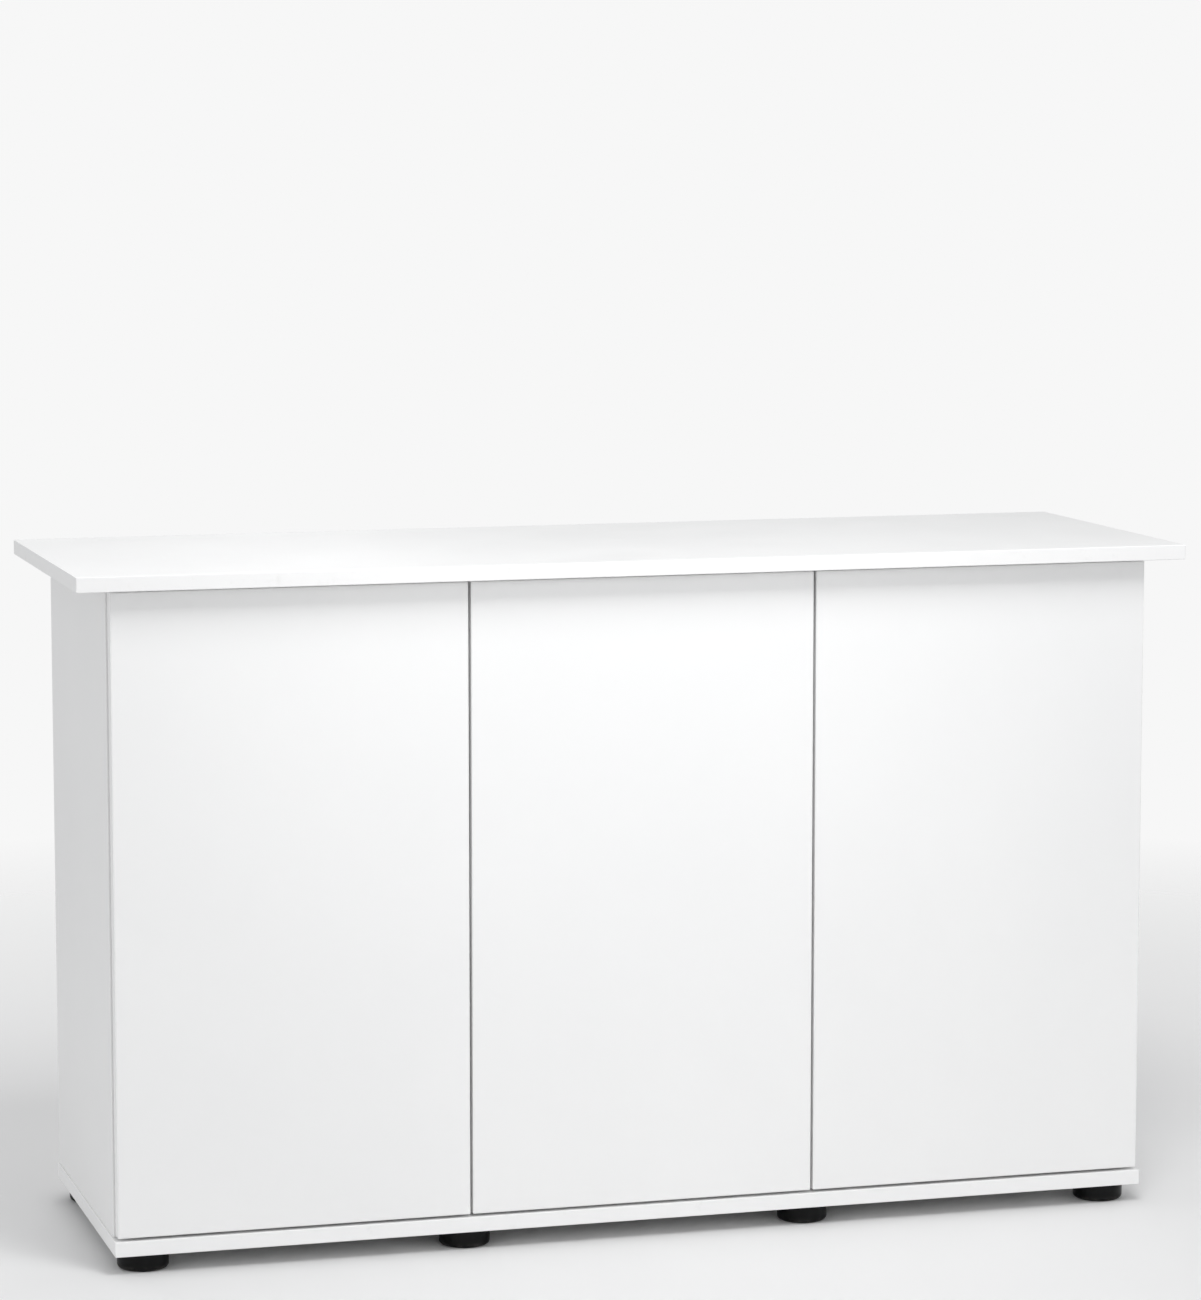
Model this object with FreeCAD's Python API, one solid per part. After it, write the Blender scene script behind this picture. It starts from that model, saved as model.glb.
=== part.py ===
import FreeCAD, Part
import math
import os

# Three-door cabinet that carries an aquarium: boards, hinged doors, push latches and screw-in feet.
# Millimetres. Origin on the floor under the middle; +X right, the doors face -Y, +Z up.

# Whole cabinet
WIDTH = 1210.0
DEPTH = 410.0
HEIGHT = 730.0
BOARD = 16.0
EDGE_ROUND = 0.8

# Carcass
FOOT_HEIGHT = 20.0
BASE_WIDTH = 1141.0
BASE_FRONT = -184.5
BASE_BACK = 183.0
BODY_WIDTH = 1138.0
BODY_FRONT = -164.0
BODY_BACK = 180.0
DIVIDER_X = 189.5
BACK_THICKNESS = 3.0
BACK_PANEL_TOP = 560.0
REBATE_WIDTH = 8.0
RAIL_HEIGHT = 100.0
SHELF_TOP = 386.0
SHELF_FRONT = -118.0
SHELF_BACK = 158.0
SHELF_GAP = 0.5

# Doors
DOOR_GAP = 3.0
DOOR_FRONT = -182.0
SIDE_REVEAL = 2.0

# Derived levels and faces
BASE_TOP = FOOT_HEIGHT + BOARD
TOP_UNDERSIDE = HEIGHT - BOARD
SIDE_OUTER = BODY_WIDTH / 2
SIDE_INNER = SIDE_OUTER - BOARD
DIVIDER_OUTER = DIVIDER_X + BOARD / 2
DIVIDER_INNER = DIVIDER_X - BOARD / 2
DIVIDER_BACK = BODY_BACK - BACK_THICKNESS
DOOR_BOTTOM = BASE_TOP + DOOR_GAP
DOOR_TOP = TOP_UNDERSIDE - DOOR_GAP
DOOR_OUTER = SIDE_OUTER - SIDE_REVEAL
DOOR_SPLIT = DOOR_GAP / 2
DOOR_WIDTH = DOOR_OUTER - DIVIDER_X - DOOR_SPLIT

# Hinges, in a door's own plan: u from its hinged edge, v inwards from its front face
HINGE_HEIGHTS = (DOOR_BOTTOM + 95.0, DOOR_TOP - 95.0)
CUP_U = 22.5
CUP_RADIUS = 17.4
CUP_WALL = 1.0
CUP_BOTTOM_V = 3.2
CUP_HOLE_RADIUS = 17.5
FLANGE_THICKNESS = 1.0
FLANGE_RADIUS = 19.5
FLANGE_LENGTH = 60.0
CUP_SCREW_U = 32.0
CUP_SCREW_OFFSET = 24.0
ARM_PIN = (33.8, 17.0)
CUP_PIN = (10.8, 10.0)
PIN_RADIUS = 1.5
PIN_CLEARANCE = 0.05
EYE_RADIUS = 2.7
LINK_HALF_WIDTH = 5.2
LINK_BENDS = ((14.5, 7.0), (20.5, 6.6), (26.0, 9.5))
LINK_THICKNESS = 1.4
CHEEK_INNER = 5.6
CHEEK_OUTER = 7.0
ARM_HEIGHT = 11.0
ARM_STANDOFF = 5.6
ARM_END_V = 76.0
BASE_PLATE_V = 55.0
BASE_SCREW_OFFSET = 16.0

# Push latches under the top
LATCH_INSET = 24.0
LATCH_WIDTH = 20.0
LATCH_HEIGHT = 18.0
LATCH_FRONT = BODY_FRONT + 1.0
LATCH_LENGTH = 76.0
LATCH_SCREW_INSET = 4.0
PLUNGER_Z = TOP_UNDERSIDE - 10.5
PLUNGER_RADIUS = 4.0
PLUNGER_CLEARANCE = 0.06
PLUNGER_LENGTH = 58.0
STRIKE_THICKNESS = 1.0
CONTACT_GAP = 0.3

# Feet
FOOT_RADIUS = 27.5
FOOT_TAPER = 0.5
FOOT_ROUND = 4.5
FOOT_COLUMNS = (("left", -535.5), ("centre_left", -DIVIDER_X), ("centre_right", DIVIDER_X), ("right", 535.5))
FOOT_ROWS = (("front", -149.0), ("rear", 150.0))
STUD_RADIUS = 5.0
STUD_CLEARANCE = 0.06
STUD_TOP = 34.0
INSERT_RADIUS = 8.0
INSERT_TOP = 35.0

# Carcass fittings
CAM_ROWS = (-112.0, 118.0)
DOWEL_SHIFT = 32.0
CAM_RADIUS = 7.5
CAM_DEPTH = 12.5
CAM_FROM_END = 34.0
BOLT_RADIUS = 3.0
BOLT_IN_PLATE = 11.0
DOWEL_RADIUS = 4.0
DOWEL_HALF = 11.0
PEG_RADIUS = 2.5
PEG_IN_BOARD = 9.0
PEG_REACH = 8.0
PEG_ROWS = (-86.0, 126.0)
PEG_PITCH = 32.0
PEG_STEPS = (-3, -2, -1, 0, 1, 2, 3)

X = FreeCAD.Vector(1, 0, 0)
Y = FreeCAD.Vector(0, 1, 0)
Z = FreeCAD.Vector(0, 0, 1)


def point(x, y, z):
    return FreeCAD.Vector(x, y, z)


def block(x, y, z):
    """Box from its low and high limits along each axis."""
    return Part.makeBox(x[1] - x[0], y[1] - y[0], z[1] - z[0], point(x[0], y[0], z[0]))


def rod(radius, start, length, axis):
    return Part.makeCylinder(radius, length, start, axis)


def softened(shape, radius=EDGE_ROUND):
    return shape.makeFillet(radius, shape.Edges)


def drilled(shape, holes):
    return shape.cut(Part.makeCompound(holes)) if holes else shape


def plan_prism(corners, low, high):
    """Prism with a plan outline of (u, v) corners between two heights."""
    outline = [point(u, v, low) for u, v in corners]
    return Part.Face(Part.makePolygon(outline + outline[:1])).extrude(Z * (high - low))


def export(name, solids):
    """Write one node; identical pieces share it as separate solids."""
    shape = solids[0] if len(solids) == 1 else Part.makeCompound(solids)
    if not shape.isValid():
        raise ValueError(name + " is not a valid shape")
    shape.exportStep(os.path.join("parts", name + ".step"))


# ---- Doors and what they share with the carcass ----

class Door:
    """One door: which edge carries the hinges and which board they are screwed to."""

    def __init__(self, name, hinge_x, side, board_face):
        self.name = name
        self.hinge_x = hinge_x
        self.side = side
        self.board_face = board_face

    def place(self, shape, height=0.0):
        """Move a shape from the door's own plan to the cabinet."""
        moved = shape.copy() if self.side > 0 else shape.mirror(point(0, 0, 0), X)
        moved.translate(point(self.hinge_x, DOOR_FRONT, height))
        return moved

    def x(self, u):
        return self.hinge_x + self.side * u

    def at_hinges(self, shape):
        return [self.place(shape, height) for height in HINGE_HEIGHTS]


OVERLAY = DOOR_OUTER - SIDE_INNER
DOORS = (
    Door("left", -DOOR_OUTER, 1, OVERLAY),
    Door("middle", -DIVIDER_X + DOOR_SPLIT, 1, BOARD / 2 - DOOR_SPLIT),
    Door("right", DOOR_OUTER, -1, OVERLAY),
)


def cup_screw_places():
    return [(CUP_SCREW_U, side * CUP_SCREW_OFFSET) for side in (-1, 1)]


def latch_u():
    return DOOR_WIDTH - LATCH_INSET


def door_panel(door):
    panel = softened(block((0, DOOR_WIDTH), (0, BOARD), (DOOR_BOTTOM, DOOR_TOP)))
    holes = []
    for height in HINGE_HEIGHTS:
        depth = BOARD - CUP_BOTTOM_V + 0.1
        holes.append(rod(CUP_HOLE_RADIUS, point(CUP_U, BOARD - depth, height), depth + 1, Y))
        for u, offset in cup_screw_places():
            holes.append(rod(1.75, point(u, BOARD - 11, height + offset), 12, Y))
    return door.place(drilled(panel, holes))


def hinge_cup():
    """Pressed cup with a flange on the door's back and a cavity for the link."""
    body = rod(CUP_RADIUS, point(CUP_U, CUP_BOTTOM_V, 0), BOARD - CUP_BOTTOM_V, Y)
    flange = rod(FLANGE_RADIUS, point(CUP_U, BOARD, 0), FLANGE_THICKNESS, Y)
    along = (-FLANGE_LENGTH / 2, FLANGE_LENGTH / 2)
    wing = block((CUP_U + 1, CUP_U + 17), (BOARD, BOARD + FLANGE_THICKNESS), along)
    corners = [e for e in wing.Edges if abs(e.Vertexes[0].Z - e.Vertexes[1].Z) < 0.1
               and abs(e.Vertexes[0].X - e.Vertexes[1].X) < 0.1]
    wing = wing.makeFillet(4.0, corners)
    inner = CUP_RADIUS - CUP_WALL
    cavity = rod(inner, point(CUP_U, CUP_BOTTOM_V + CUP_WALL, 0), BOARD, Y)
    holes = [rod(2.0, point(u, BOARD - 1, offset), 4, Y) for u, offset in cup_screw_places()]
    return drilled(body.fuse([flange, wing]).removeSplitter(), [cavity] + holes)


def cup_pin():
    """Pin across the cup that the link turns on."""
    inner = CUP_RADIUS - CUP_WALL
    half = math.sqrt(inner ** 2 - (CUP_U - CUP_PIN[0] + PIN_RADIUS) ** 2)
    return rod(PIN_RADIUS, point(CUP_PIN[0], CUP_PIN[1], -half), 2 * half, Z)


def screw(radius, length, head_radius, head_height, head_base, direction):
    """Round-headed screw: the head rises from head_base against direction, the shank follows it."""
    shank = rod(radius, head_base, length, direction)
    head = rod(head_radius, head_base - direction * head_height, head_height, direction)
    rims = [e for e in head.Edges if e.Closed]
    top_edges = [e for e in rims if abs((e.CenterOfMass - head_base).Length - head_height) < 0.01]
    head = head.makeFillet(head_height * 0.45, top_edges)
    slot = head_height * 0.4
    across = X if abs(direction.x) < 0.5 else Y
    other = direction.cross(across)
    centre = head_base - direction * head_height
    cross = []
    for long_way, short_way in ((across, other), (other, across)):
        bar = Part.makeBox(head_radius * 1.1, head_radius * 0.22, 2 * slot)
        bar.translate(point(-head_radius * 0.55, -head_radius * 0.11, -slot))
        turn = FreeCAD.Rotation(long_way, short_way, direction, "ZXY")
        bar.Placement = FreeCAD.Placement(centre, turn).multiply(bar.Placement)
        cross.append(bar)
    return head.fuse(shank).removeSplitter().cut(cross[0].fuse(cross[1]))


def cup_screws(door):
    solids = []
    for u, offset in cup_screw_places():
        base = point(u, BOARD + FLANGE_THICKNESS, offset)
        solids.extend(door.at_hinges(screw(1.7, 11.0, 3.8, 1.8, base, -Y)))
    return solids


def hinge_link():
    """Hooked lever between the arm's pin and the cup's pin."""
    low, high = -LINK_HALF_WIDTH, LINK_HALF_WIDTH
    stops = (CUP_PIN,) + LINK_BENDS + (ARM_PIN,)
    half = LINK_THICKNESS / 2
    pieces = [rod(EYE_RADIUS, point(pin[0], pin[1], low), high - low, Z) for pin in (CUP_PIN, ARM_PIN)]
    pieces += [rod(half, point(bend[0], bend[1], low), high - low, Z) for bend in LINK_BENDS]
    for start, end in zip(stops, stops[1:]):
        length = math.hypot(end[0] - start[0], end[1] - start[1])
        side_u = -(end[1] - start[1]) / length * half
        side_v = (end[0] - start[0]) / length * half
        corners = ((start[0] + side_u, start[1] + side_v), (end[0] + side_u, end[1] + side_v),
                   (end[0] - side_u, end[1] - side_v), (start[0] - side_u, start[1] - side_v))
        pieces.append(plan_prism(corners, low, high))
    lever = pieces[0].fuse(pieces[1:]).removeSplitter()
    hole = PIN_RADIUS + PIN_CLEARANCE
    bores = [rod(hole, point(pin[0], pin[1], low - 1), high - low + 2, Z) for pin in (CUP_PIN, ARM_PIN)]
    return drilled(lever, bores)


def hinge_arm(board_face):
    """Channel-shaped arm: two cheeks that hold the pin and a web facing the inside of the cabinet."""
    near = board_face + ARM_STANDOFF
    far = near + ARM_HEIGHT
    pin_u, pin_v = ARM_PIN
    outline = ((pin_u - EYE_RADIUS, pin_v), (pin_u + EYE_RADIUS, pin_v), (pin_u + EYE_RADIUS, 24.0),
               (far, 36.0), (far, ARM_END_V), (near, ARM_END_V), (near, 28.0), (pin_u - EYE_RADIUS, 20.5))
    wall = CHEEK_OUTER - CHEEK_INNER
    web = ((pin_u + EYE_RADIUS - wall, 21.0), (pin_u + EYE_RADIUS, 21.0), (pin_u + EYE_RADIUS, 24.0),
           (far, 36.0), (far, ARM_END_V), (far - wall, ARM_END_V), (far - wall, 36.0),
           (pin_u + EYE_RADIUS - wall, 24.0))
    pieces = [plan_prism(web, -CHEEK_OUTER, CHEEK_OUTER)]
    holes = []
    for low in (-CHEEK_OUTER, CHEEK_INNER):
        pieces.append(plan_prism(outline, low, low + wall))
        pieces.append(rod(EYE_RADIUS, point(pin_u, pin_v, low), wall, Z))
        holes.append(rod(PIN_RADIUS, point(pin_u, pin_v, low - 0.5), wall + 1, Z))
    holes.append(rod(2.6, point(far - 5, 47.0, 0), 8, X))
    holes.append(rod(2.6, point(far - 5, 66.0, 0), 8, X))
    return drilled(pieces[0].fuse(pieces[1:]).removeSplitter(), holes)


def arm_pin():
    return rod(PIN_RADIUS, point(ARM_PIN[0], ARM_PIN[1], -CHEEK_OUTER), 2 * CHEEK_OUTER, Z)


def arm_screw(board_face, v):
    """Adjusting screw that ties the arm to its base plate."""
    far = board_face + ARM_STANDOFF + ARM_HEIGHT
    base = point(far, v, 0)
    return screw(2.4, far - board_face - 4.0, 4.2, 1.8, base, -X)


def hinge_base(board_face):
    """Cross-shaped base plate on the board, with a spine under the arm."""
    plate = block((board_face, board_face + 1.6), (BASE_PLATE_V - 8, BASE_PLATE_V + 8), (-25, 25))
    plate = plate.makeFillet(5.0, [e for e in plate.Edges if abs(e.Vertexes[0].X - e.Vertexes[1].X) > 1])
    spine = block((board_face, board_face + ARM_STANDOFF), (32.0, ARM_END_V), (-CHEEK_INNER, CHEEK_INNER))
    heights = (-BASE_SCREW_OFFSET, BASE_SCREW_OFFSET)
    holes = [rod(2.1, point(board_face - 1, BASE_PLATE_V, height), 6, X) for height in heights]
    holes += [rod(2.4, point(board_face + 3.5, v, 0), 6, X) for v in (47.0, 66.0)]
    return drilled(plate.fuse(spine).removeSplitter(), holes)


def base_screws(board_face):
    return [screw(2.0, 12.0, 3.6, 1.8, point(board_face + 1.6, BASE_PLATE_V, side * BASE_SCREW_OFFSET), -X)
            for side in (-1, 1)]


def base_screw_holes(door):
    """Pilot holes in the board that carries a door's hinges."""
    holes = [rod(2.0, point(door.board_face - 10.5, BASE_PLATE_V, side * BASE_SCREW_OFFSET), 11.5, X)
             for side in (-1, 1)]
    return [solid for hole in holes for solid in door.at_hinges(hole)]


# ---- Push latches ----

def latch_housing(door):
    centre = door.x(latch_u())
    back = LATCH_FRONT + LATCH_LENGTH
    across = (centre - LATCH_WIDTH / 2, centre + LATCH_WIDTH / 2)
    body = block(across, (LATCH_FRONT, back), (TOP_UNDERSIDE - LATCH_HEIGHT, TOP_UNDERSIDE))
    lower = [e for e in body.Edges if e.CenterOfMass.z < TOP_UNDERSIDE - LATCH_HEIGHT / 4]
    body = body.makeFillet(2.0, lower)
    bore_mouth = point(centre, LATCH_FRONT - 1, PLUNGER_Z)
    bore = rod(PLUNGER_RADIUS + PLUNGER_CLEARANCE, bore_mouth, LATCH_LENGTH - 8, Y)
    return drilled(body, [bore, latch_screw_hole(centre, back - LATCH_SCREW_INSET)])


def latch_plunger(door):
    start = DOOR_FRONT + BOARD + STRIKE_THICKNESS + CONTACT_GAP
    plunger = rod(PLUNGER_RADIUS, point(door.x(latch_u()), start, PLUNGER_Z), PLUNGER_LENGTH, Y)
    tip = [e for e in plunger.Edges if e.Closed and abs(e.CenterOfMass.y - start) < 0.01]
    return plunger.makeFillet(0.8, tip)


def strike_plate(door):
    plate = rod(7.0, point(latch_u(), BOARD, PLUNGER_Z), STRIKE_THICKNESS, Y)
    rim = [e for e in plate.Edges if e.Closed and e.CenterOfMass.y > BOARD + STRIKE_THICKNESS / 2]
    return door.place(plate.makeFillet(0.4, rim))


def door_buffers(door):
    """Soft dots that meet the front edge of the board at the opening edge."""
    solids = []
    for height in (DOOR_BOTTOM + 22, DOOR_TOP - 40):
        dot = rod(2.8, point(DOOR_WIDTH - 3.4, BOARD, height), 1.6, Y)
        rim = [e for e in dot.Edges if e.Closed and e.CenterOfMass.y > BOARD + 0.8]
        solids.append(door.place(dot.makeFillet(0.7, rim)))
    return solids


# ---- Feet ----

def foot(x, y):
    """Round plastic foot with a moulded screw stud."""
    top = FOOT_HEIGHT - CONTACT_GAP
    lower_radius = FOOT_RADIUS - FOOT_TAPER
    profile = [point(0, 0, 0), point(lower_radius - FOOT_ROUND, 0, 0)]
    half_turn = FOOT_ROUND * math.sin(math.pi / 4)
    arc_mid = point(lower_radius - FOOT_ROUND + half_turn, 0, FOOT_ROUND - half_turn)
    shoulder = point(lower_radius, 0, FOOT_ROUND)
    upper = point(FOOT_RADIUS, 0, top - 0.8)
    rim = point(FOOT_RADIUS - 0.8, 0, top)
    neck = point(STUD_RADIUS, 0, top)
    tip_low = point(STUD_RADIUS, 0, STUD_TOP - 1.0)
    tip_high = point(STUD_RADIUS - 1.0, 0, STUD_TOP)
    axis_top = point(0, 0, STUD_TOP)
    edges = [Part.makeLine(profile[0], profile[1]), Part.Arc(profile[1], arc_mid, shoulder).toShape()]
    stops = (shoulder, upper, rim, neck, tip_low, tip_high, axis_top, profile[0])
    edges += [Part.makeLine(start, end) for start, end in zip(stops, stops[1:])]
    solid = Part.Face(Part.Wire(edges)).revolve(point(0, 0, 0), Z, 360)
    solid.translate(point(x, y, 0))
    return solid


def foot_places():
    return [(row + "_" + column, x, y) for row, y in FOOT_ROWS for column, x in FOOT_COLUMNS]


def foot_insert(x, y):
    sleeve = rod(INSERT_RADIUS, point(x, y, FOOT_HEIGHT), INSERT_TOP - FOOT_HEIGHT, Z)
    return sleeve.cut(rod(STUD_RADIUS + STUD_CLEARANCE, point(x, y, FOOT_HEIGHT - 1), INSERT_TOP, Z))


# ---- Carcass fittings: cams, bolts, dowels and shelf pegs ----

UPRIGHTS = ((-SIDE_OUTER + BOARD / 2, 1), (-DIVIDER_X, -1), (DIVIDER_X, 1), (SIDE_OUTER - BOARD / 2, -1))
ENDS = ((BASE_TOP, 1), (TOP_UNDERSIDE, -1))


def cam_places():
    return [(x, face, y, end, up) for x, face in UPRIGHTS for end, up in ENDS for y in CAM_ROWS]


def cam_lock(x, face, y, end, up, radius):
    height = end + up * CAM_FROM_END
    return rod(radius, point(x + face * BOARD / 2, y, height), CAM_DEPTH, X * -face)


def cam_with_slot(place):
    x, face, y, end, up = place
    cam = cam_lock(x, face, y, end, up, CAM_RADIUS)
    height = end + up * CAM_FROM_END
    skin = x + face * BOARD / 2
    sides = sorted((skin + face, skin - face * 2.0))
    slot = block(sides, (y - 5.5, y + 5.5), (height - 1.1, height + 1.1))
    cross = block(sides, (y - 1.1, y + 1.1), (height - 5.5, height + 5.5))
    return cam.cut(slot.fuse(cross))


def cam_bolt(place):
    x, _, y, end, up = place
    start = end - up * BOLT_IN_PLATE
    reach = CAM_FROM_END - CAM_RADIUS - 0.1 + BOLT_IN_PLATE
    return rod(BOLT_RADIUS, point(x, y, start), reach, Z * up)


def dowel(place):
    x, _, y, end, up = place
    shift = DOWEL_SHIFT if y < 0 else -DOWEL_SHIFT
    pin = rod(DOWEL_RADIUS, point(x, y + shift, end - up * DOWEL_HALF), 2 * DOWEL_HALF, Z * up)
    return pin.makeFillet(0.8, [e for e in pin.Edges if e.Closed])


def dowel_hole(place):
    x, _, y, end, up = place
    shift = DOWEL_SHIFT if y < 0 else -DOWEL_SHIFT
    return rod(DOWEL_RADIUS, point(x, y + shift, end - up * DOWEL_HALF), 2 * DOWEL_HALF, Z * up)


# Boards beside a shelf: skin position and the way its peg holes point into the board
SHELF_SKINS = ((-SIDE_INNER, -1), (-DIVIDER_OUTER, 1), (DIVIDER_OUTER, -1), (SIDE_INNER, 1))


def peg_holes():
    level = SHELF_TOP - BOARD - PEG_RADIUS
    return [rod(PEG_RADIUS, point(skin, y, level + step * PEG_PITCH), PEG_IN_BOARD, X * into)
            for skin, into in SHELF_SKINS for y in PEG_ROWS for step in PEG_STEPS]


def shelf_pegs():
    level = SHELF_TOP - BOARD - PEG_RADIUS
    pegs = []
    for skin, into in SHELF_SKINS:
        for y in PEG_ROWS:
            inner_end = point(skin + into * PEG_IN_BOARD, y, level)
            peg = rod(PEG_RADIUS, inner_end, PEG_IN_BOARD + PEG_REACH, X * -into)
            collar = rod(4.0, point(skin, y, level), 0.4, X * -into)
            flat = block((skin - 12, skin + 12), (y - 5, y + 5), (SHELF_TOP - BOARD, SHELF_TOP))
            pegs.append(peg.fuse(collar).removeSplitter().cut(flat))
    return pegs


# ---- Boards ----

def fitting_holes():
    holes = []
    for place in cam_places():
        x, face, y, end, up = place
        holes.append(cam_lock(x, face, y, end, up, CAM_RADIUS))
        holes.append(cam_bolt(place))
        holes.append(dowel_hole(place))
    return holes


def near(holes, board):
    """Only the holes whose boxes reach into a board."""
    box = board.BoundBox
    return [hole for hole in holes if hole.BoundBox.intersect(box)]


def side_panel(side):
    x = sorted((side * SIDE_OUTER, side * SIDE_INNER))
    panel = softened(block(x, (BODY_FRONT, BODY_BACK), (BASE_TOP, TOP_UNDERSIDE)))
    rebate_x = sorted((side * (SIDE_INNER - 1), side * (SIDE_INNER + REBATE_WIDTH)))
    return panel.cut(block(rebate_x, (DIVIDER_BACK, BODY_BACK + 1), (BASE_TOP - 1, BACK_PANEL_TOP + 1)))


def divider(side):
    x = sorted((side * DIVIDER_OUTER, side * DIVIDER_INNER))
    return softened(block(x, (BODY_FRONT, DIVIDER_BACK), (BASE_TOP, TOP_UNDERSIDE)))


def back_panel_limits():
    """Low and high X of the three thin back panels; they meet behind the dividers."""
    outer = SIDE_INNER + REBATE_WIDTH - SHELF_GAP
    seam = DIVIDER_X + SHELF_GAP
    inner = DIVIDER_X - SHELF_GAP
    return (("left", -outer, -seam), ("middle", -inner, inner), ("right", seam, outer))


def back_panel(low, high):
    return block((low, high), (DIVIDER_BACK, BODY_BACK), (BASE_TOP, BACK_PANEL_TOP))


def back_screw_places():
    places = []
    right = (DIVIDER_INNER + 4, DIVIDER_OUTER - 4, SIDE_INNER + 4)
    for x in [-x for x in right] + list(right):
        places += [(x, z) for z in (80.0, 230.0, 380.0, 530.0)]
    return places


def back_screw(x, z):
    return screw(1.25, 14.0, 3.0, 1.2, point(x, BODY_BACK, z), -Y)


def back_screw_hole(x, z):
    return rod(1.25, point(x, BODY_BACK - 14.0, z), 15.0, Y)


def bay_limits():
    """Clear width of the three bays between the uprights."""
    return (("left", -SIDE_INNER, -DIVIDER_OUTER), ("middle", -DIVIDER_INNER, DIVIDER_INNER),
            ("right", DIVIDER_OUTER, SIDE_INNER))


def rear_rail(low, high):
    rail_low = TOP_UNDERSIDE - RAIL_HEIGHT
    rail = block((low, high), (DIVIDER_BACK - BOARD, DIVIDER_BACK), (rail_low, TOP_UNDERSIDE))
    return rail.makeFillet(EDGE_ROUND, [e for e in rail.Edges if e.CenterOfMass.z < rail_low + 1])


def shelf(low, high):
    along = (low + SHELF_GAP, high - SHELF_GAP)
    return softened(block(along, (SHELF_FRONT, SHELF_BACK), (SHELF_TOP - BOARD, SHELF_TOP)))


def latch_screw_places():
    return [(door.x(latch_u()), LATCH_FRONT + LATCH_LENGTH - LATCH_SCREW_INSET) for door in DOORS]


def latch_screw(x, y):
    return screw(1.5, LATCH_HEIGHT + 9.0, 2.8, 1.4, point(x, y, TOP_UNDERSIDE - LATCH_HEIGHT), Z)


def latch_screw_hole(x, y):
    return rod(1.5, point(x, y, TOP_UNDERSIDE - LATCH_HEIGHT - 1), LATCH_HEIGHT + 10.0, Z)


# ---- Build ----

def build_carcass():
    holes = fitting_holes() + peg_holes()
    for door in DOORS:
        holes += base_screw_holes(door)
    holes += [back_screw_hole(x, z) for x, z in back_screw_places()]
    holes += [latch_screw_hole(x, y) for x, y in latch_screw_places()]
    holes += [rod(INSERT_RADIUS, point(x, y, FOOT_HEIGHT - 1), INSERT_TOP - FOOT_HEIGHT + 1, Z)
              for _, x, y in foot_places()]
    top = softened(block((-WIDTH / 2, WIDTH / 2), (-DEPTH / 2, DEPTH / 2), (TOP_UNDERSIDE, HEIGHT)), 1.0)
    along = (-BASE_WIDTH / 2, BASE_WIDTH / 2)
    base = softened(block(along, (BASE_FRONT, BASE_BACK), (FOOT_HEIGHT, BASE_TOP)))
    boards = {"top_plate": top, "base_plate": base, "side_panel_left": side_panel(-1),
              "side_panel_right": side_panel(1), "divider_left": divider(-1), "divider_right": divider(1)}
    for name, low, high in back_panel_limits():
        boards["back_panel_" + name] = back_panel(low, high)
    for name, board in boards.items():
        export(name, [drilled(board, near(holes, board))])
    for name, low, high in bay_limits():
        export("rear_rail_" + name, [rear_rail(low, high)])
        if name != "middle":
            export("shelf_" + name, [shelf(low, high)])


def build_fittings():
    places = cam_places()
    export("cam_locks", [cam_with_slot(place) for place in places])
    export("cam_bolts", [cam_bolt(place) for place in places])
    export("dowels", [dowel(place) for place in places])
    export("shelf_pegs", shelf_pegs())
    export("back_screws", [back_screw(x, z) for x, z in back_screw_places()])
    export("latch_screws", [latch_screw(x, y) for x, y in latch_screw_places()])
    export("foot_inserts", [foot_insert(x, y) for _, x, y in foot_places()])


def build_hinges():
    arms, pins, plates, plate_screws, arm_screws = [], [], [], [], []
    for door in DOORS:
        arms += door.at_hinges(hinge_arm(door.board_face))
        pins += door.at_hinges(arm_pin())
        plates += door.at_hinges(hinge_base(door.board_face))
        for part in base_screws(door.board_face):
            plate_screws += door.at_hinges(part)
        for v in (47.0, 66.0):
            arm_screws += door.at_hinges(arm_screw(door.board_face, v))
        export("hinge_links_" + door.name, door.at_hinges(hinge_link()))
        export("hinge_cups_" + door.name, door.at_hinges(hinge_cup()))
        export("hinge_cup_pins_" + door.name, door.at_hinges(cup_pin()))
        export("hinge_cup_screws_" + door.name, cup_screws(door))
    export("hinge_arms", arms)
    export("hinge_arm_pins", pins)
    export("hinge_base_plates", plates)
    export("hinge_base_screws", plate_screws)
    export("hinge_arm_screws", arm_screws)


def build_doors():
    for door in DOORS:
        export("door_" + door.name, [door_panel(door)])
        export("strike_plate_" + door.name, [strike_plate(door)])
        export("door_buffers_" + door.name, door_buffers(door))
        export("latch_plunger_" + door.name, [latch_plunger(door)])
    export("latch_housings", [latch_housing(door) for door in DOORS])


def build_feet():
    for name, x, y in foot_places():
        export("foot_" + name, [foot(x, y)])


os.makedirs("parts", exist_ok=True)
build_carcass()
build_fittings()
build_hinges()
build_doors()
build_feet()
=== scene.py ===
import math

import bmesh
import bpy
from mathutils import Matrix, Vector


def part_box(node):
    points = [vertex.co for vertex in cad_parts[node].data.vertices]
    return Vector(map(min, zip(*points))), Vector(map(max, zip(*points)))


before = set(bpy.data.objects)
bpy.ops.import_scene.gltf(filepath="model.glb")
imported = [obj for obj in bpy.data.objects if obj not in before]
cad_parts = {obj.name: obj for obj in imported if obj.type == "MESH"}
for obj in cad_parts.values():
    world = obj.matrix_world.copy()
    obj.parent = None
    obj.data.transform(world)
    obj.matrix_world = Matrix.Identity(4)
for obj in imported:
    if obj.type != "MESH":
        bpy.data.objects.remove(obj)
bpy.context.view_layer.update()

# Looks of an aquarium stand cabinet: white melamine boards, nickel hinges, grey latches, black feet.
# Metres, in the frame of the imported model: +X right, the doors face -Y, +Z up.

MM = 0.001

# ---- Camera, at the viewing angle of a product picture taken from the upper left ----

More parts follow.
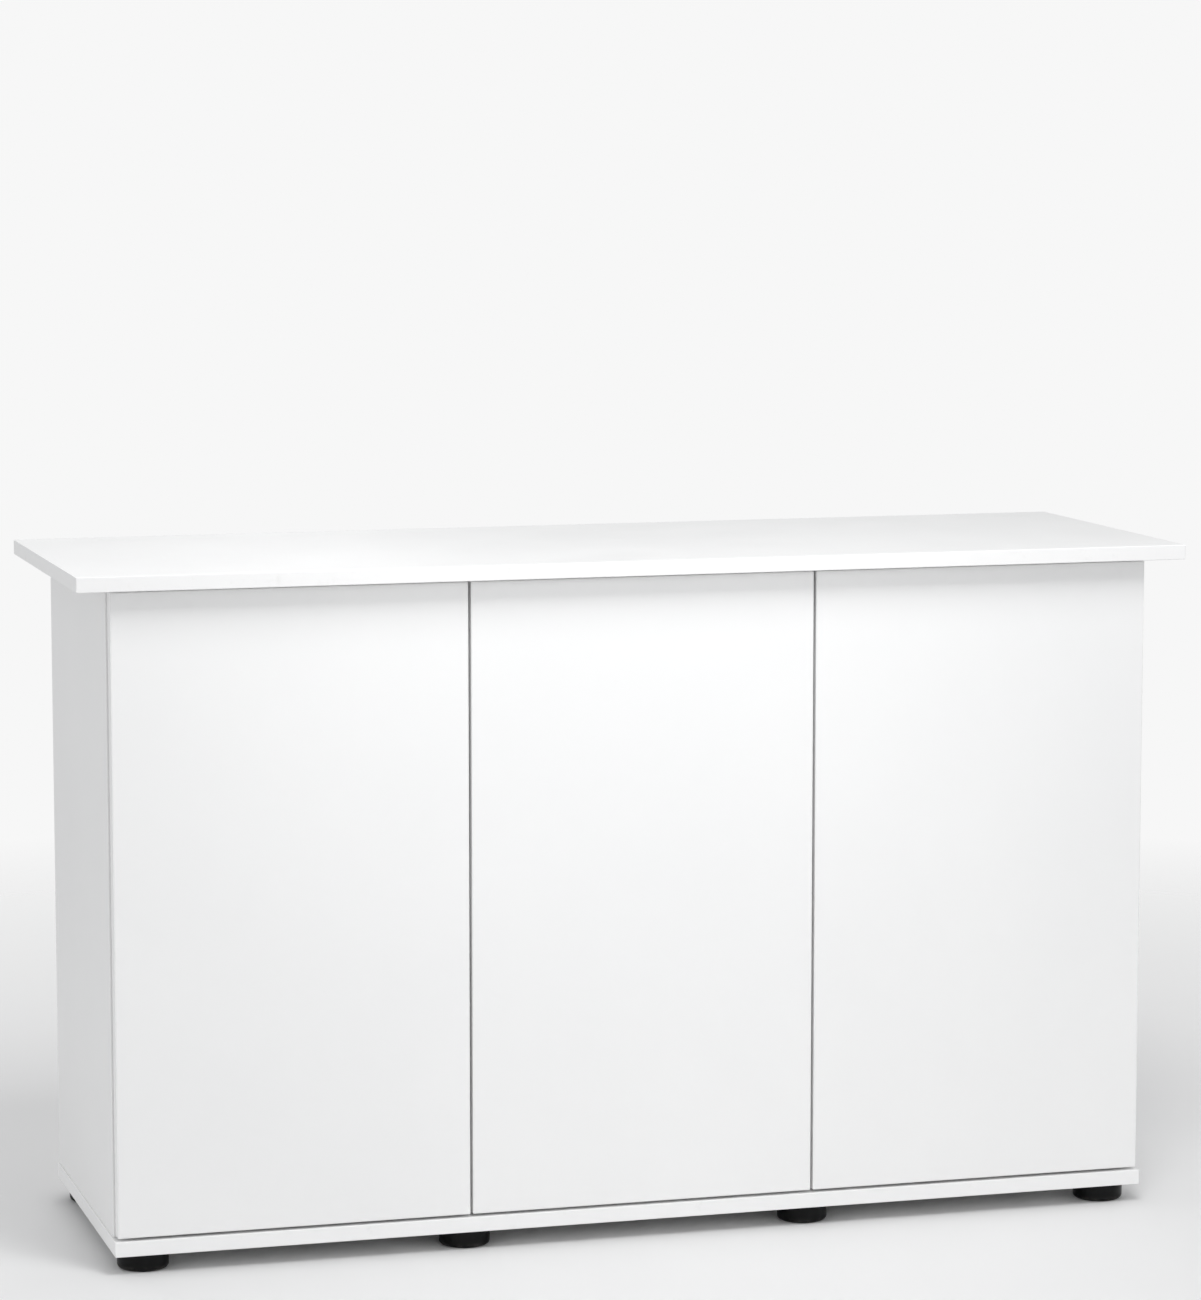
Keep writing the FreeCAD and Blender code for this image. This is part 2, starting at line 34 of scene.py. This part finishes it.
CAMERA_PLACE = (-1.336, -4.621, 1.204)
CAMERA_YAW = 16.18
CAMERA_PITCH = 7.02
LENS = 122.9
SENSOR_WIDTH = 36.0


def make_camera():
    data = bpy.data.cameras.new("camera")
    data.lens = LENS
    data.sensor_width = SENSOR_WIDTH
    camera = bpy.data.objects.new("camera", data)
    bpy.context.scene.collection.objects.link(camera)
    camera.location = CAMERA_PLACE
    camera.rotation_euler = (math.radians(90 - CAMERA_PITCH), 0, -math.radians(CAMERA_YAW))
    bpy.context.scene.camera = camera


# ---- Light ----

SKY_LIGHT = 0.61
SKY_SEEN = 0.93
SKY_LIGHT_COLOUR = (0.985, 0.99, 1.0, 1)
SKY_SEEN_COLOUR = (1, 1, 1, 1)


def aimed_light(name, kind, place, target, power):
    data = bpy.data.lights.new(name, kind)
    data.energy = power
    light = bpy.data.objects.new(name, data)
    bpy.context.scene.collection.objects.link(light)
    light.location = place
    light.rotation_euler = (Vector(target) - Vector(place)).to_track_quat("-Z", "Y").to_euler()
    return data


def area_light(name, place, target, size, power):
    data = aimed_light(name, "AREA", place, target, power)
    data.shape = "RECTANGLE"
    data.size, data.size_y = size


def spot_light(name, place, target, cone, power, radius):
    data = aimed_light(name, "SPOT", place, target, power)
    data.spot_size = math.radians(cone)
    data.spot_blend = 1.0
    data.shadow_soft_size = radius


def make_lights():
    area_light("key", (0.1, -1.1, 2.1), (0.05, -0.18, 0.66), size=(0.6, 0.9), power=19.5)
    area_light("front_fill", (0.6, -4.2, 1.5), (0, 0, 0.45), size=(2.5, 2.0), power=6.0)
    area_light("left_fill", (-3.4, -0.8, 1.3), (-0.55, 0, 0.4), size=(2.0, 1.6), power=8.0)
    spot_light("door_glow", (0.1, -2.3, 1.3), (0.0, -0.18, 0.64), cone=28.0, power=18.0, radius=0.2)
    area_light("right_fill", (3.4, -0.2, 1.3), (0.55, 0, 0.4), size=(2.0, 1.6), power=6.0)
    area_light("back_fill", (-0.6, 2.6, 2.2), (0, 0, 0.4), size=(2.5, 1.5), power=14.0)


def make_world():
    """Even white surroundings: brighter to look at than to light with, so that soft shading stays."""
    world = bpy.data.worlds.new("surroundings")
    world.use_nodes = True
    bpy.context.scene.world = world
    tree = world.node_tree
    tree.nodes.clear()
    seen = tree.nodes.new("ShaderNodeBackground")
    seen.inputs["Strength"].default_value = SKY_SEEN
    seen.inputs["Color"].default_value = SKY_SEEN_COLOUR
    lit = tree.nodes.new("ShaderNodeBackground")
    lit.inputs["Strength"].default_value = SKY_LIGHT
    lit.inputs["Color"].default_value = SKY_LIGHT_COLOUR
    path = tree.nodes.new("ShaderNodeLightPath")
    mix = tree.nodes.new("ShaderNodeMixShader")
    out = tree.nodes.new("ShaderNodeOutputWorld")
    tree.links.new(path.outputs["Is Camera Ray"], mix.inputs[0])
    tree.links.new(lit.outputs[0], mix.inputs[1])
    tree.links.new(seen.outputs[0], mix.inputs[2])
    tree.links.new(mix.outputs[0], out.inputs[0])


# ---- Node material builder ----

class Look:
    """A node material around one Principled shader, with short calls for the usual nodes."""

    def __init__(self, name, roughness=0.4, metallic=0.0):
        self.material = bpy.data.materials.new(name)
        self.material.use_nodes = True
        self.tree = self.material.node_tree
        self.shader = self.tree.nodes["Principled BSDF"]
        self.shader.inputs["Roughness"].default_value = roughness
        self.shader.inputs["Metallic"].default_value = metallic
        self.place = self.new("ShaderNodeTexCoord").outputs["Object"]

    def new(self, kind, **settings):
        node = self.tree.nodes.new(kind)
        for key, value in settings.items():
            setattr(node, key, value)
        return node

    def feed(self, socket, value):
        """Links a node's output to the socket, or sets a plain value on it."""
        if isinstance(value, bpy.types.NodeSocket):
            self.tree.links.new(value, socket)
        else:
            socket.default_value = value

    def set(self, name, value):
        self.feed(self.shader.inputs[name], value)

    # Coordinates

    def axes(self):
        split = self.new("ShaderNodeSeparateXYZ")
        self.feed(split.inputs[0], self.place)
        return [split.outputs[i] for i in range(3)]

    def stretched(self, scale):
        node = self.new("ShaderNodeMapping")
        self.feed(node.inputs["Vector"], self.place)
        node.inputs["Scale"].default_value = scale
        return node.outputs[0]

    def distance_from(self, point):
        node = self.new("ShaderNodeVectorMath", operation="DISTANCE")
        self.feed(node.inputs[0], self.place)
        node.inputs[1].default_value = point
        return node.outputs["Value"]

    # Patterns

    def noise(self, scale, detail=3.0, roughness=0.5, place=None):
        node = self.new("ShaderNodeTexNoise")
        self.feed(node.inputs["Vector"], place or self.place)
        node.inputs["Scale"].default_value = scale
        node.inputs["Detail"].default_value = detail
        node.inputs["Roughness"].default_value = roughness
        return node.outputs["Fac"]

    def cells(self, scale, output="Distance"):
        node = self.new("ShaderNodeTexVoronoi")
        self.feed(node.inputs["Vector"], self.place)
        node.inputs["Scale"].default_value = scale
        return node.outputs[output]

    # Numbers

    def math(self, operation, a, b=0.0):
        node = self.new("ShaderNodeMath", operation=operation)
        self.feed(node.inputs[0], a)
        self.feed(node.inputs[1], b)
        return node.outputs[0]

    def scaled(self, value, factor):
        return self.math("MULTIPLY", value, factor)

    def plus(self, value, mask, amount):
        """Adds an amount to a value where the mask is 1, and a share of it where the mask is less."""
        return self.math("ADD", value, self.scaled(mask, amount))

    def spread(self, value, low=0.3, high=0.7, to_low=0.0, to_high=1.0):
        """Maps a value from one range to another, clamped. A noise stays mostly within 0.3 to 0.7."""
        node = self.new("ShaderNodeMapRange")
        self.feed(node.inputs["Value"], value)
        node.inputs["From Min"].default_value = low
        node.inputs["From Max"].default_value = high
        node.inputs["To Min"].default_value = to_low
        node.inputs["To Max"].default_value = to_high
        return node.outputs[0]

    # Colours

    def mix(self, share, a, b):
        node = self.new("ShaderNodeMix", data_type="RGBA")
        self.feed(node.inputs[0], share)
        self.feed(node.inputs[6], a if isinstance(a, bpy.types.NodeSocket) else (*a, 1))
        self.feed(node.inputs[7], b if isinstance(b, bpy.types.NodeSocket) else (*b, 1))
        return node.outputs[2]

    def tinted(self, colour, tint, mask, share):
        """Lays a share of a tint over a colour where the mask is 1, and less where the mask is less."""
        return self.mix(self.scaled(mask, share), colour, tint)

    # Relief

    def bump(self, height, distance, strength=1.0, under=None):
        node = self.new("ShaderNodeBump")
        self.feed(node.inputs["Height"], height)
        node.inputs["Distance"].default_value = distance
        node.inputs["Strength"].default_value = strength
        if under is not None:
            self.feed(node.inputs["Normal"], under)
        return node.outputs[0]


# ---- Board materials ----

WHITE = (0.93, 0.93, 0.926)
WHITE_SHADE = (0.905, 0.906, 0.904)
# Painted shade: the top plate's two tones are darker than the other boards' because its upward face
# catches more of the light from above.
TOP_PAINTED_SHADE_LIGHT = (0.845, 0.846, 0.842)
TOP_PAINTED_SHADE_DARK = (0.805, 0.806, 0.802)
# Edge bands are whiter than the face: partly their own tone, partly painted light that lifts the shade in
# the narrow gaps between doors.
BAND_WHITE_AND_GAP_LIGHT = (0.95, 0.95, 0.948)
GLUE_LINE = (0.62, 0.61, 0.58)
SPECK_GREY = (0.70, 0.70, 0.68)
WORN_GREY = (0.66, 0.655, 0.63)
CHIP_LIGHT = (0.62, 0.48, 0.31)
CHIP_DARK = (0.30, 0.20, 0.11)

BAND_THICKNESS = 1.0 * MM
FACING_THICKNESS = 0.5 * MM
CORE_INSET = 1.3 * MM
GLUE_HALF_WIDTH = 0.05 * MM
GLUE_FADE_END = 0.16 * MM
WORN_START = 0.3 * MM
WORN_END = 4.0 * MM

FACE_ROUGHNESS = (0.33, 0.39)
SMUDGE_DULLS = 0.035
CORE_DULLS = 0.4

PUSH_POLISHES = 0.09
PUSH_RADIUS = 15 * MM
PUSH_FADE_END = 75 * MM
PUSH_BELOW_TOP = 30 * MM


def edge_distance(look, axis, low, high):
    """How far a point lies from the nearer of two opposite sides of a board."""
    return look.math("MINIMUM", look.math("SUBTRACT", axis, low), look.math("SUBTRACT", high, axis))


def board_depths(look, node):
    """How far a point of a board lies from its nearest edge, and from its nearer face."""
    low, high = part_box(node)
    size = high - low
    thin = min(range(3), key=lambda i: size[i])
    axes = look.axes()
    depths = [edge_distance(look, axes[i], low[i], high[i]) for i in range(3)]
    from_face = depths.pop(thin)
    return look.math("MINIMUM", *depths), from_face


def facing_colour(look, shade, light, from_edge, glue):
    """Cloudy white with faint specks, edge bands whiter partly by their own tone and partly as painted
    light in the gaps, their glue line and rubbed edges.
    """
    cloud = look.noise(2.3, detail=4.0)
    colour = look.mix(look.spread(cloud, 0.35, 0.65), shade, light)
    specks = look.spread(look.noise(900.0, detail=2.0), 0.66, 0.80, to_high=0.05)
    colour = look.mix(specks, colour, SPECK_GREY)
    band = look.math("LESS_THAN", from_edge, BAND_THICKNESS)
    # Whiter edge faces: own band tone plus painted light for the shaded gaps.
    colour = look.tinted(colour, BAND_WHITE_AND_GAP_LIGHT, band, share=0.8)
    colour = look.tinted(colour, GLUE_LINE, glue, share=0.55)
    rub = look.spread(look.noise(38.0, detail=6.0, roughness=0.7), 0.60, 0.74)
    near_edge = look.spread(from_edge, WORN_START, WORN_END, 1.0, 0.0)
    return look.tinted(colour, WORN_GREY, look.math("MULTIPLY", rub, near_edge), share=0.22)


def chipboard_colour(look):
    tone = look.spread(look.noise(260.0, roughness=0.6))
    colour = look.mix(look.scaled(tone, 0.9), CHIP_DARK, CHIP_LIGHT)
    return look.mix(0.25, colour, look.cells(420.0, output="Color"))


def board_roughness(look, inside, push_point):
    """A little uneven, duller at smudges, polished where a door is pushed, rough in drilled holes."""
    smudge = look.spread(look.noise(14.0, detail=5.0, roughness=0.65), 0.45, 0.7)
    roughness = look.spread(look.noise(7.0), 0.3, 0.7, *FACE_ROUGHNESS)
    roughness = look.plus(roughness, smudge, SMUDGE_DULLS)
    if push_point:
        near = look.spread(look.distance_from(push_point), PUSH_RADIUS, PUSH_FADE_END, 1.0, 0.0)
        roughness = look.plus(roughness, look.math("MULTIPLY", near, smudge), -PUSH_POLISHES)
    return look.plus(roughness, inside, CORE_DULLS)


def board_relief(look, inside, glue):
    """Pearl grain over a slight orange peel, a groove at the glue line, coarse chips in drilled holes."""
    pearl = look.bump(look.noise(1500.0, detail=2.0), 0.03 * MM, strength=0.5)
    peel = look.bump(look.noise(75.0, detail=2.0), 0.04 * MM, strength=0.6, under=pearl)
    groove = look.bump(look.scaled(glue, -1.0), 0.05 * MM, under=peel)
    chips = look.math("MULTIPLY", inside, look.noise(500.0, detail=4.0))
    return look.bump(chips, 0.4 * MM, under=groove)


def board_look(node, push_point=None):
    """White melamine facing, edge bands with a hairline glue joint, and chipboard inside drilled holes."""
    look = Look("melamine_" + node)
    from_edge, from_face = board_depths(look, node)
    off_joint = look.math("ABSOLUTE", look.math("SUBTRACT", from_edge, BAND_THICKNESS))
    glue = look.spread(off_joint, GLUE_HALF_WIDTH, GLUE_FADE_END, 1.0, 0.0)
    inside = look.math("MULTIPLY", look.math("GREATER_THAN", from_face, FACING_THICKNESS),
                       look.math("GREATER_THAN", from_edge, CORE_INSET))
    # The top plate gets painted shade: a darker white, so its brightly lit upper face matches the doors.
    tones = (TOP_PAINTED_SHADE_DARK, TOP_PAINTED_SHADE_LIGHT) if node == "top_plate" else (WHITE_SHADE, WHITE)
    facing = facing_colour(look, *tones, from_edge, glue)
    look.set("Base Color", look.mix(inside, facing, chipboard_colour(look)))
    look.set("Roughness", board_roughness(look, inside, push_point))
    look.set("Normal", board_relief(look, inside, glue))
    return look.material


LACQUER_LIGHT = (0.885, 0.882, 0.868)
LACQUER_SHADE = (0.80, 0.795, 0.775)
FIBRE_FLECK = (0.60, 0.56, 0.49)


def hardboard_look():
    """Thin fibre board with a white lacquer: fine fibres print through."""
    look = Look("hardboard")
    fibres = look.noise(160.0, detail=6.0, roughness=0.7, place=look.stretched((3.0, 1.0, 0.6)))
    cloud = look.noise(4.0, detail=4.0)
    tone = look.plus(look.scaled(fibres, 0.6), cloud, 0.4)
    colour = look.mix(look.spread(tone, 0.35, 0.65), LACQUER_SHADE, LACQUER_LIGHT)
    flecks = look.spread(look.noise(420.0), 0.64, 0.78, to_high=0.3)
    look.set("Base Color", look.mix(flecks, colour, FIBRE_FLECK))
    look.set("Roughness", look.spread(cloud, to_low=0.48, to_high=0.60))
    screen = look.bump(look.noise(340.0), 0.08 * MM, strength=0.7)
    look.set("Normal", look.bump(fibres, 0.10 * MM, strength=0.6, under=screen))
    return look.material


# ---- Metal materials ----

NICKEL = (0.78, 0.76, 0.73)
SCREW_STEEL = (0.70, 0.69, 0.67)
PIN_STEEL = (0.60, 0.60, 0.60)
PLATING_SHADE = 0.93
SCUFF_GREY = (0.50, 0.48, 0.45)
ZINC_DARK = (0.36, 0.36, 0.355)
ZINC_LIGHT = (0.52, 0.52, 0.51)


def nickel_look(name, tint, roughness):
    """Nickel-plated pressed steel: faint rolling lines, soft blotches and tiny scuffs."""
    look = Look(name, metallic=1.0)
    cloud = look.noise(55.0, detail=4.0, roughness=0.6)
    lines = look.noise(900.0, detail=2.0, place=look.stretched((1.0, 0.12, 1.0)))
    scuffs = look.spread(look.noise(210.0, detail=5.0, roughness=0.75), 0.62, 0.72)
    darker = tuple(channel * PLATING_SHADE for channel in tint)
    colour = look.mix(look.spread(cloud), darker, tint)
    look.set("Base Color", look.tinted(colour, SCUFF_GREY, scuffs, share=0.15))
    uneven = look.spread(lines, to_low=roughness - 0.04, to_high=roughness + 0.04)
    look.set("Roughness", look.plus(uneven, scuffs, 0.08))
    blotches = look.bump(cloud, 0.02 * MM, strength=0.12)
    look.set("Normal", look.bump(lines, 0.01 * MM, strength=0.35, under=blotches))
    return look.material


def zinc_look():
    """Die-cast zinc: matt skin with flow marks."""
    look = Look("die_cast_zinc", metallic=0.9)
    flow = look.noise(130.0, detail=5.0, roughness=0.65)
    look.set("Base Color", look.mix(look.spread(flow, 0.35, 0.65), ZINC_DARK, ZINC_LIGHT))
    look.set("Roughness", look.spread(flow, to_low=0.42, to_high=0.58))
    look.set("Normal", look.bump(look.noise(700.0), 0.06 * MM, strength=0.7))
    return look.material


# ---- Plastic materials ----

FOOT_BLACK = (0.003, 0.0031, 0.0033)
FOOT_BLACK_LIGHT = (0.006, 0.0062, 0.0066)
INSERT_BLACK = (0.020, 0.020, 0.021)
INSERT_BLACK_LIGHT = (0.035, 0.035, 0.037)
LATCH_GREY = (0.50, 0.51, 0.52)
LATCH_GREY_LIGHT = (0.60, 0.61, 0.62)
PLUNGER_WHITE = (0.74, 0.74, 0.73)
PLUNGER_WHITE_LIGHT = (0.82, 0.82, 0.81)
DUST = (0.33, 0.31, 0.28)
DUST_HEIGHT = 6 * MM
GRAIN_SCALE = 1100.0
GRAIN_DEPTH = 0.05 * MM
DOT_CLEAR = (0.78, 0.79, 0.79)
DOT_MILKY = (0.90, 0.91, 0.91)


def moulded_look(name, dark, light, roughness, shine=0.5, dusty=False):
    """Moulded plastic with a fine eroded grain, tone changes and, near the floor, a little dust."""
    look = Look(name)
    tone = look.noise(30.0, detail=4.0, roughness=0.6)
    scuffs = look.spread(look.noise(120.0, detail=6.0, roughness=0.75), 0.63, 0.72)
    pale = tuple(min(1.0, channel * 1.6 + 0.02) for channel in light)
    colour = look.mix(look.spread(tone), dark, light)
    colour = look.tinted(colour, pale, scuffs, share=0.25)
    matt = look.spread(tone, to_low=roughness - 0.05, to_high=roughness + 0.05)
    if dusty:
        near_floor = look.spread(look.axes()[2], 0.0, DUST_HEIGHT, 1.0, 0.0)
        patches = look.spread(look.noise(90.0, detail=5.0, roughness=0.7), 0.42, 0.68)
        dust = look.math("MULTIPLY", near_floor, patches)
        colour = look.tinted(colour, DUST, dust, share=0.22)
        matt = look.plus(matt, dust, 0.25)
    look.set("Base Color", colour)
    look.set("Roughness", matt)
    look.set("Specular IOR Level", shine)
    uneven = look.bump(tone, 0.05 * MM, strength=0.2)
    look.set("Normal", look.bump(look.cells(GRAIN_SCALE), GRAIN_DEPTH, strength=0.5, under=uneven))
    return look.material


def soft_dot_look():
    """Milky clear polyurethane."""
    look = Look("clear_dot")
    haze = look.noise(300.0)
    look.set("Base Color", look.mix(look.spread(haze), DOT_CLEAR, DOT_MILKY))
    look.set("Roughness", look.spread(haze, to_low=0.18, to_high=0.30))
    look.set("Transmission Weight", 0.55)
    look.set("IOR", 1.49)
    look.set("Normal", look.bump(haze, 0.03 * MM, strength=0.4))
    return look.material


# ---- Wood ----

BEECH_DARK = (0.50, 0.33, 0.18)
BEECH_LIGHT = (0.68, 0.50, 0.31)
BEECH_FLECK = (0.36, 0.22, 0.11)


def beech_look():
    """Raw beech with flecks along the dowel."""
    look = Look("beech", roughness=0.6)
    grain = look.noise(220.0, detail=5.0, roughness=0.6, place=look.stretched((1.0, 1.0, 0.12)))
    along = look.noise(900.0, detail=2.0, place=look.stretched((1.0, 1.0, 0.3)))
    flecks = look.spread(along, 0.6, 0.7)
    colour = look.mix(look.spread(grain), BEECH_DARK, BEECH_LIGHT)
    look.set("Base Color", look.tinted(colour, BEECH_FLECK, flecks, share=0.35))
    look.set("Normal", look.bump(grain, 0.1 * MM, strength=0.5))
    return look.material


# ---- Who wears what ----

BOARDS = ("top_plate", "base_plate", "side_panel", "divider", "rear_rail", "shelf_left", "shelf_right")
DOORS = ("door_left", "door_middle", "door_right")


def dress(node, material):
    """Gives a CAD node one material on all its faces."""
    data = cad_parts[node].data
    data.materials.clear()
    data.materials.append(material)


def dress_boards():
    """Each board has a look of its own. A door's is polished a little where fingers push it open."""
    top_of_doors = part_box("door_left")[1].z
    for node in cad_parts:
        if node.startswith(BOARDS):
            dress(node, board_look(node))
        elif node in DOORS:
            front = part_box(node)[0].y
            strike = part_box(node.replace("door", "strike_plate"))
            middle = (strike[0].x + strike[1].x) / 2
            dress(node, board_look(node, (middle, front, top_of_doors - PUSH_BELOW_TOP)))


def dress_rest():
    """Dresses the fittings and the back. The first start of a name that fits a node counts."""
    nickel = nickel_look("nickel_plate", NICKEL, 0.26)
    screw_steel = nickel_look("screw_steel", SCREW_STEEL, 0.32)
    pin_steel = nickel_look("pin_steel", PIN_STEEL, 0.22)
    hardboard = hardboard_look()
    zinc = zinc_look()
    beech = beech_look()
    dot = soft_dot_look()
    black = moulded_look("foot_plastic", FOOT_BLACK, FOOT_BLACK_LIGHT, 0.34, shine=0.14, dusty=True)
    insert = moulded_look("insert_plastic", INSERT_BLACK, INSERT_BLACK_LIGHT, 0.5)
    grey = moulded_look("latch_plastic", LATCH_GREY, LATCH_GREY_LIGHT, 0.44)
    plunger = moulded_look("plunger_plastic", PLUNGER_WHITE, PLUNGER_WHITE_LIGHT, 0.4)
    wearers = (
        (hardboard, ("back_panel",)),
        (pin_steel, ("hinge_cup_pins", "hinge_arm_pins")),
        (screw_steel, ("hinge_cup_screws", "hinge_base_screws", "hinge_arm_screws")),
        (screw_steel, ("back_screws", "latch_screws", "cam_bolts")),
        (nickel, ("hinge_", "shelf_pegs", "strike_plate")),
        (zinc, ("cam_locks",)),
        (beech, ("dowels",)),
        (dot, ("door_buffers",)),
        (insert, ("foot_inserts",)),
        (black, ("foot_",)),
        (plunger, ("latch_plunger",)),
        (grey, ("latch_housings",)),
    )
    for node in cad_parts:
        material = next((look for look, starts in wearers if node.startswith(starts)), None)
        if material:
            dress(node, material)


# ---- Floor ----

FLOOR_RADIUS = 14.0
FLOOR_CORNERS = 96
FLOOR_CLEAR = 0.85
FLOOR_FADE = 2.6
FLOOR_SHADE = (0.80, 0.80, 0.80)
FLOOR_LIGHT = (0.82, 0.82, 0.82)


def floor_look():
    """Pale floor that fades into the surroundings, so no horizon shows."""
    look = Look("floor", roughness=0.6)
    tone = look.noise(1.7)
    look.set("Base Color", look.mix(look.spread(tone), FLOOR_SHADE, FLOOR_LIGHT))
    look.set("Normal", look.bump(look.noise(300.0, detail=2.0), 0.1 * MM, strength=0.2))
    from_middle = look.distance_from((0, 0, 0))
    look.set("Alpha", look.spread(from_middle, FLOOR_CLEAR, FLOOR_FADE, 1.0, 0.0))
    return look.material


def make_floor():
    material = floor_look()
    mesh = bpy.data.meshes.new("floor")
    disc = bmesh.new()
    bmesh.ops.create_circle(disc, cap_ends=True, radius=FLOOR_RADIUS, segments=FLOOR_CORNERS)
    disc.to_mesh(mesh)
    disc.free()
    mesh.materials.append(material)
    floor = bpy.data.objects.new("floor", mesh)
    bpy.context.scene.collection.objects.link(floor)


# ---- Make it all ----

make_camera()
make_world()
make_lights()
make_floor()
dress_boards()
dress_rest()
bpy.context.scene.view_settings.view_transform = "Standard"
